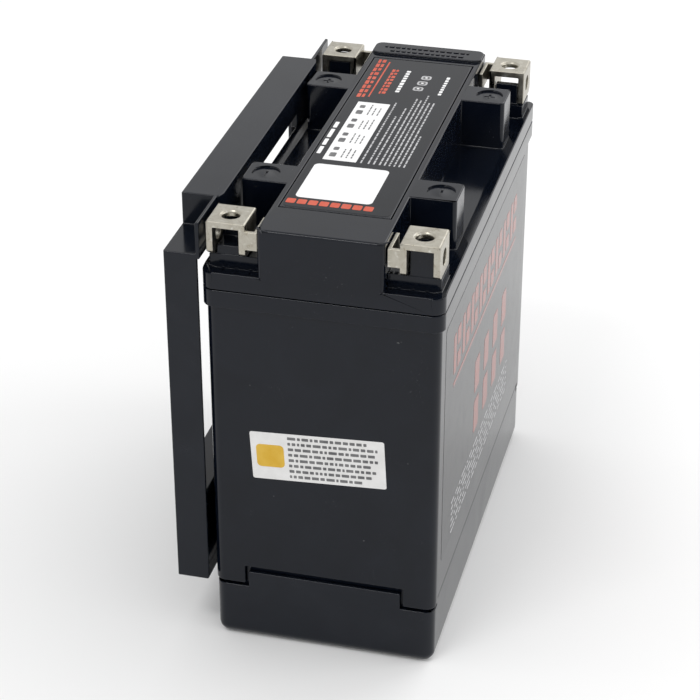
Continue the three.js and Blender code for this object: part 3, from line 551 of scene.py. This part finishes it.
rounded_piece("case_shell", "case", "battery", "case_plastic", CASE_EDGE)
rounded_piece("lid_shell", "lid", "battery", "case_plastic", PLATEAU_END_EDGE, lid_edge,
              polarity_cutters())
rounded_piece("cover_plate", "vent_cover", "battery", "case_plastic", COVER_EDGE)

# ---- Terminals and spacers ------------------------------------------------------------------

for sign in ("negative", "positive"):
    for side in ("left", "right"):
        node = f"{sign}_terminal_{side}"
        rounded_piece(f"{node}_plated", node, "battery", "nickel_plate", TERMINAL_EDGE)

rounded_piece("side_spacer_shell", "side_spacer", "side_spacer", "spacer_plastic", SPACER_EDGE)
rounded_piece("bottom_spacer_shell", "bottom_spacer", "bottom_spacer", "spacer_plastic", SPACER_EDGE)

# ---- Inside ---------------------------------------------------------------------------------


def dress_node(node, slot):
    """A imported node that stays: its material, and soft edges by modifier."""
    piece = frame["nodes"][node]
    piece.data.materials.clear()
    piece.data.materials.append(materials[slot])
    weld = piece.modifiers.new("joined_corners", "WELD")
    weld.merge_threshold = MERGE_DISTANCE
    flat = piece.modifiers.new("flat_sides", "DECIMATE")
    flat.decimate_type = "DISSOLVE"
    flat.angle_limit = FLAT_ANGLE
    add_bevel(piece, INNER_EDGE, "ANGLE")


slot_of = {row["node"]: row["material_slot"] for row in frame["record"]["subparts"]}
REBUILT = ("case", "lid", "vent_cover", "side_spacer", "bottom_spacer")
for node_name, slot_name in slot_of.items():
    is_rebuilt = node_name in REBUILT or "terminal" in node_name or "label" in node_name
    if not is_rebuilt:
        dress_node(node_name, slot_name)

# ---- Labels ---------------------------------------------------------------------------------

# Places on the labels are in millimetres. A panel or tile is its low and high ends across, then
# its low and high ends along or up. A set of bars in place of words is the shortest length, the
# longest, and the gap between them.
LABEL_CORNER = 2.0 * MM
BLANK_PANEL = (-10.3, 17.5, -59.0, -30.5)
PICTURE_PANEL = (-8.9, 3.7, -26.5, 27.6)
HEADING_BARS = (5.0, 9.0, 1.4)
PICTURE_BARS = (1.0, 3.0, 0.5)
RATING_BARS = (1.4, 2.4, 0.7)
ORIGIN_BARS = (1.2, 2.2, 0.7)
NOTE_BARS = (0.8, 3.4, 0.6)
NOTE_START = -26.5
# across and length of each small row on the top label
NOTE_ROWS = ((5.2, 57.0), (8.0, 44.0), (10.0, 52.0), (12.2, 62.0), (14.0, 62.0), (15.8, 66.0),
             (17.6, 60.0), (19.4, 60.0), (21.2, 28.0))
BADGE_STARTS = (43.2, 49.0, 54.6)
PICTURE_ROWS = 4
PICTURE_START = -23.6
PICTURE_STEP = 13.2

STICKER_TILT = math.radians(3.2)
STICKER_HALF_WIDTH = 25.0 * MM
STICKER_HALF_HEIGHT = 9.9 * MM
STICKER_CORNER = 0.8 * MM
AMBER_TILE = (-23.0, -12.6, -4.6, 4.8)
STICKER_BARS = (0.8, 3.2, 0.6)
STICKER_ROWS = 8
STICKER_TOP_ROW = 8.6
STICKER_ROW_STEP = 2.3
STICKER_ROW_HEIGHT = 1.15
STICKER_ROW_START = -11.0

SIDE_NAME_LETTERS = 8
SIDE_NAME_START = -62.0
SIDE_NAME_STEP = 15.6
SIDE_NUMBER_LETTERS = 4
SIDE_NUMBER_START = -20.0
SIDE_NUMBER_STEP = 18.0
SIDE_BARS = (2.0, 9.0, 2.0)
SIDE_ROWS = 6
SIDE_ROW_START = -60.0
SIDE_ROW_LENGTH = 110.0
SIDE_TOP_ROW = 56.0
SIDE_ROW_STEP = 2.6

# across, height and length of each rubbed spot
SCUFFS = ((33.9, 136.9, 1.2), (35.0, 137.4, 0.5), (-12.0, 66.0, 0.6), (22.0, 52.0, 0.8),
          (-20.0, 112.0, 0.5), (38.0, 88.0, 0.7))
SCUFF_SIDES = 9
SCUFF_SINK = 0.02 * MM

# start along the battery and length of each row on the pad
RELIEF_ROWS = ((78.4, 30.0), (82.2, 36.0))
RELIEF_WIDTH = 1.7
RELIEF_BARS = (1.0, 2.2, 0.7)


def label_plate(name, node, place, u_span, v_span, radius, slot):
    """A thin rounded film on the surface under it, which stands for a packed label."""
    sheet = Print(lambda u, v, h: place(u, v, FILM_HEIGHT if h > 0 else -INK_SINK), [slot])
    sheet.box(*u_span, *v_span, slot, radius)
    piece = sheet.finish(name, "battery")
    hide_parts(node)
    return piece


def over_film(place):
    """The same surface, with its height counted from the top of the film."""
    return lambda u, v, h: place(u, v, FILM_HEIGHT + h)


def text_row(block, rng, x0, x1, start, length, bars, ink, radius, lift=0.0):
    """A row of plain bars along the battery, where text would be."""
    for bar_start, bar_end in word_lengths(rng, length, *bars):
        block(x0, x1, start + bar_start, start + bar_end, ink, radius, lift)


def letter_bars(block, rng, x0, x1, y0, y1, width, gap, ink):
    """A row of upright bars of two parts, where a name would be."""
    radius = 0.25
    slack = 0.01
    y = y0
    while y + width <= y1 + slack:
        split = x0 + (x1 - x0) * rng.uniform(0.35, 0.6)
        block(x0, split - gap * 0.3, y, y + width, ink, radius)
        block(split + gap * 0.3, x1, y + width * rng.uniform(0.0, 0.3), y + width, ink, radius)
        y += width + gap


def picture_tiles(block, rng):
    """Four pairs of plain dark tiles in the picture panel, with three short rows beside each."""
    for row in range(PICTURE_ROWS):
        y = PICTURE_START + row * PICTURE_STEP
        block(-7.4, -4.9, y, y + 3.6, "grey_ink", 0.6, STACKED)
        block(-7.2, -5.1, y + 5.8, y + 8.6, "grey_ink", 0.6, STACKED)
        for line in range(3):
            x = -2.9 + line * 1.9
            length = rng.uniform(7.0, 10.0)
            text_row(block, rng, x, x + 0.5, y, length, PICTURE_BARS, "grey_ink", 0.1, STACKED)


def name_bars(block, rng):
    """Orange bars in place of the names."""
    letter_bars(block, rng, -11.0, -7.9, 32.0, 71.4, 3.5, 0.9, "orange_ink")
    block(-6.6, -6.0, 33.0, 69.0, "orange_ink", 0.2)
    letter_bars(block, rng, -3.4, -0.8, 37.0, 65.0, 2.5, 0.7, "orange_ink")
    for column in range(8):
        x = -12.3 + column * 4.0
        block(x, x + 3.3, -64.2, -60.6, "orange_ink", 0.6)


def badges(block):
    """Three small outlined boxes, each with a spot in it."""
    for index, y in enumerate(BADGE_STARTS):
        x = 8.6 + 0.4 * index
        block(x, x + 4.0, y, y + 3.9, "pale_ink", 1.2)
        block(x + 0.7, x + 3.3, y + 0.7, y + 3.2, "grey_ink", 0.8, STACKED)
        block(x + 1.5, x + 2.5, y + 1.4, y + 2.5, "white_ink", 0.3, 2 * STACKED)


def top_label():
    """The dark label on the raised middle."""
    low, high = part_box("top_label")

    def place(u, v, h):
        return (u, v, lid_top + h)

    label_plate("top_label_film", "top_label", place, (low.x, high.x), (low.y, high.y),
                LABEL_CORNER, "dark_label")
    inks = Print(over_film(place), ["white_ink", "pale_ink", "orange_ink", "grey_ink"])
    rng = random.Random(SEED)

    def block(x0, x1, y0, y1, ink, radius=0.0, lift=0.0):
        inks.box(x0 * MM, x1 * MM, y0 * MM, y1 * MM, ink, radius * MM, lift)

    block(*BLANK_PANEL, "white_ink", 2.0)
    block(*PICTURE_PANEL, "white_ink", 0.3)
    text_row(block, rng, -12.4, -10.9, -22.0, 34.0, HEADING_BARS, "white_ink", 0.3)
    picture_tiles(block, rng)
    name_bars(block, rng)
    text_row(block, rng, 2.5, 4.1, 40.0, 23.0, RATING_BARS, "white_ink", 0.2)
    text_row(block, rng, 19.2, 20.5, 41.0, 20.0, ORIGIN_BARS, "white_ink", 0.2)
    badges(block)
    for x, length in NOTE_ROWS:
        text_row(block, rng, x, x + 0.6, NOTE_START, length, NOTE_BARS, "pale_ink", 0.1)
    inks.finish("top_label_print", "battery")


def end_label():
    """The white sticker on the negative end, a little askew."""
    low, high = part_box("end_label")
    middle = (low + high) / 2
    case_front = Vector((middle.x, case_low.y + RIM_STEP, middle.z))
    turn = Matrix.Rotation(-STICKER_TILT, 3, "Y")

    def place(u, v, h):
        return case_front + turn @ Vector((u, -h, v))

    label_plate("end_sticker_film", "end_label", place,
                (-STICKER_HALF_WIDTH, STICKER_HALF_WIDTH),
                (-STICKER_HALF_HEIGHT, STICKER_HALF_HEIGHT), STICKER_CORNER, "white_label")
    inks = Print(over_film(place), ["amber_ink", "grey_ink"])
    rng = random.Random(SEED + 1)

    def block(u0, u1, v0, v1, ink, radius):
        inks.box(u0 * MM, u1 * MM, v0 * MM, v1 * MM, ink, radius * MM)

    block(*AMBER_TILE, "amber_ink", 1.6)
    for row in range(STICKER_ROWS):
        top = STICKER_TOP_ROW - row * STICKER_ROW_STEP
        for start, end in word_lengths(rng, rng.uniform(28.0, 34.5), *STICKER_BARS):
            block(STICKER_ROW_START + start, STICKER_ROW_START + end, top - STICKER_ROW_HEIGHT, top,
                  "grey_ink", 0.2)
    inks.finish("end_sticker_print", "battery")


def side_label():
    """The dark print panel on the right side: two rows of orange bars over small pale rows."""
    low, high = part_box("side_label")

    def place(u, v, h):
        return (case_high.x - RIM_STEP + h, u, v)

    label_plate("side_label_film", "side_label", place, (low.y, high.y), (low.z, high.z),
                LABEL_CORNER, "dark_label")
    inks = Print(over_film(place), ["side_ink", "pale_ink"])
    rng = random.Random(SEED + 2)

    def block(y0, y1, z0, z1, ink, radius=0.4):
        inks.box(y0 * MM, y1 * MM, z0 * MM, z1 * MM, ink, radius * MM)

    for column in range(SIDE_NAME_LETTERS):
        y = SIDE_NAME_START + column * SIDE_NAME_STEP
        block(y, y + 4.4, 112.0, 128.0, "side_ink", 1.0)
        block(y + 6.4, y + 12.4, 112.0, 118.0, "side_ink", 1.0)
        block(y + 6.4, y + 12.4, 121.0, 128.0, "side_ink", 1.0)
    block(-62.0, 60.0, 107.0, 108.6, "side_ink")
    for column in range(SIDE_NUMBER_LETTERS):
        y = SIDE_NUMBER_START + column * SIDE_NUMBER_STEP
        block(y, y + 9.0, 62.0, 76.0, "side_ink", 1.0)
        block(y, y + 9.0, 80.0, 94.0, "side_ink", 1.0)
    for row in range(SIDE_ROWS):
        z = SIDE_TOP_ROW - row * SIDE_ROW_STEP
        for start, end in word_lengths(rng, SIDE_ROW_LENGTH, *SIDE_BARS):
            block(SIDE_ROW_START + start, SIDE_ROW_START + end, z - 0.8, z, "pale_ink", 0.2)
    inks.finish("side_label_print", "battery")


def scuffs():
    """Small rubbed pale spots on the negative end of the case."""
    face = case_low.y + RIM_STEP
    marks = Print(lambda u, v, h: (u, face - h, v), ["scuff"])
    rng = random.Random(SEED + 4)
    for u, v, length in SCUFFS:
        points = []
        for step in range(SCUFF_SIDES):
            angle = 2 * math.pi * step / SCUFF_SIDES
            reach = length * rng.uniform(0.3, 0.55)
            across = u + reach * math.cos(angle)
            up = v + 0.6 * reach * math.sin(angle)
            points.append((across * MM, up * MM))
        marks.outline(points, "scuff", -SCUFF_SINK)
    marks.finish("end_scuffs", "battery")


def pad_relief():
    """Two low moulded rows on the raised pad at the positive end."""

    def place(u, v, h):
        return (u, v, pad_top + (EMBOSS_HEIGHT if h > 0 else -INK_SINK))

    relief = Print(place, ["case_plastic"])
    rng = random.Random(SEED + 3)
    for y, length in RELIEF_ROWS:
        for start, end in word_lengths(rng, length, *RELIEF_BARS):
            x = centre_x + (start - length / 2) * MM
            relief.box(x, x + (end - start) * MM, y * MM, (y + RELIEF_WIDTH) * MM, "case_plastic",
                       0.3 * MM)
    relief.finish("pad_relief", "battery")


top_label()
end_label()
side_label()
pad_relief()
scuffs()

# ---- Floor, light and camera ----------------------------------------------------------------


def make_floor():
    work = bmesh.new()
    bmesh.ops.create_grid(work, x_segments=1, y_segments=1, size=FLOOR_HALF_SIZE)
    mesh = bpy.data.meshes.new("floor")
    work.to_mesh(mesh)
    work.free()
    floor = bpy.data.objects.new("floor", mesh)
    bpy.context.scene.collection.objects.link(floor)
    made, tree, shader = start_material("floor")
    cloud = noise(tree, object_place(tree), 3.0, 2.0)
    tree.links.new(mix_colour(tree, cloud, (0.86, 0.86, 0.86, 1), (0.88, 0.88, 0.88, 1)),
                   shader.inputs["Base Color"])
    shader.inputs["Roughness"].default_value = 0.9
    shader.inputs["Specular IOR Level"].default_value = 0.1
    mesh.materials.append(made)
    floor.location.z = -FLOOR_DROP


def add_light(name, place, size, power):
    data = bpy.data.lights.new(name, "AREA")
    data.shape = "RECTANGLE"
    data.size, data.size_y = size
    data.energy = power
    light = bpy.data.objects.new(name, data)
    light.location = place
    aim = Vector(LIGHT_TARGET) - Vector(place)
    light.rotation_euler = aim.to_track_quat("-Z", "Y").to_euler()
    bpy.context.scene.collection.objects.link(light)


def make_studio():
    world = bpy.data.worlds.new("studio")
    world.use_nodes = True
    background = world.node_tree.nodes["Background"]
    background.inputs["Color"].default_value = SKY_COLOUR
    background.inputs["Strength"].default_value = SKY_STRENGTH
    bpy.context.scene.world = world
    for light in LIGHTS:
        add_light(*light)


def make_camera():
    data = bpy.data.cameras.new("camera")
    data.lens = CAMERA_LENS
    data.sensor_width = CAMERA_SENSOR
    camera = bpy.data.objects.new("camera", data)
    camera.location = CAMERA_PLACE
    camera.rotation_euler = (CAMERA_TARGET - CAMERA_PLACE).to_track_quat("-Z", "Y").to_euler()
    bpy.context.scene.collection.objects.link(camera)
    bpy.context.scene.camera = camera


make_floor()
make_studio()
make_camera()
bpy.context.scene.view_settings.view_transform = "Standard"
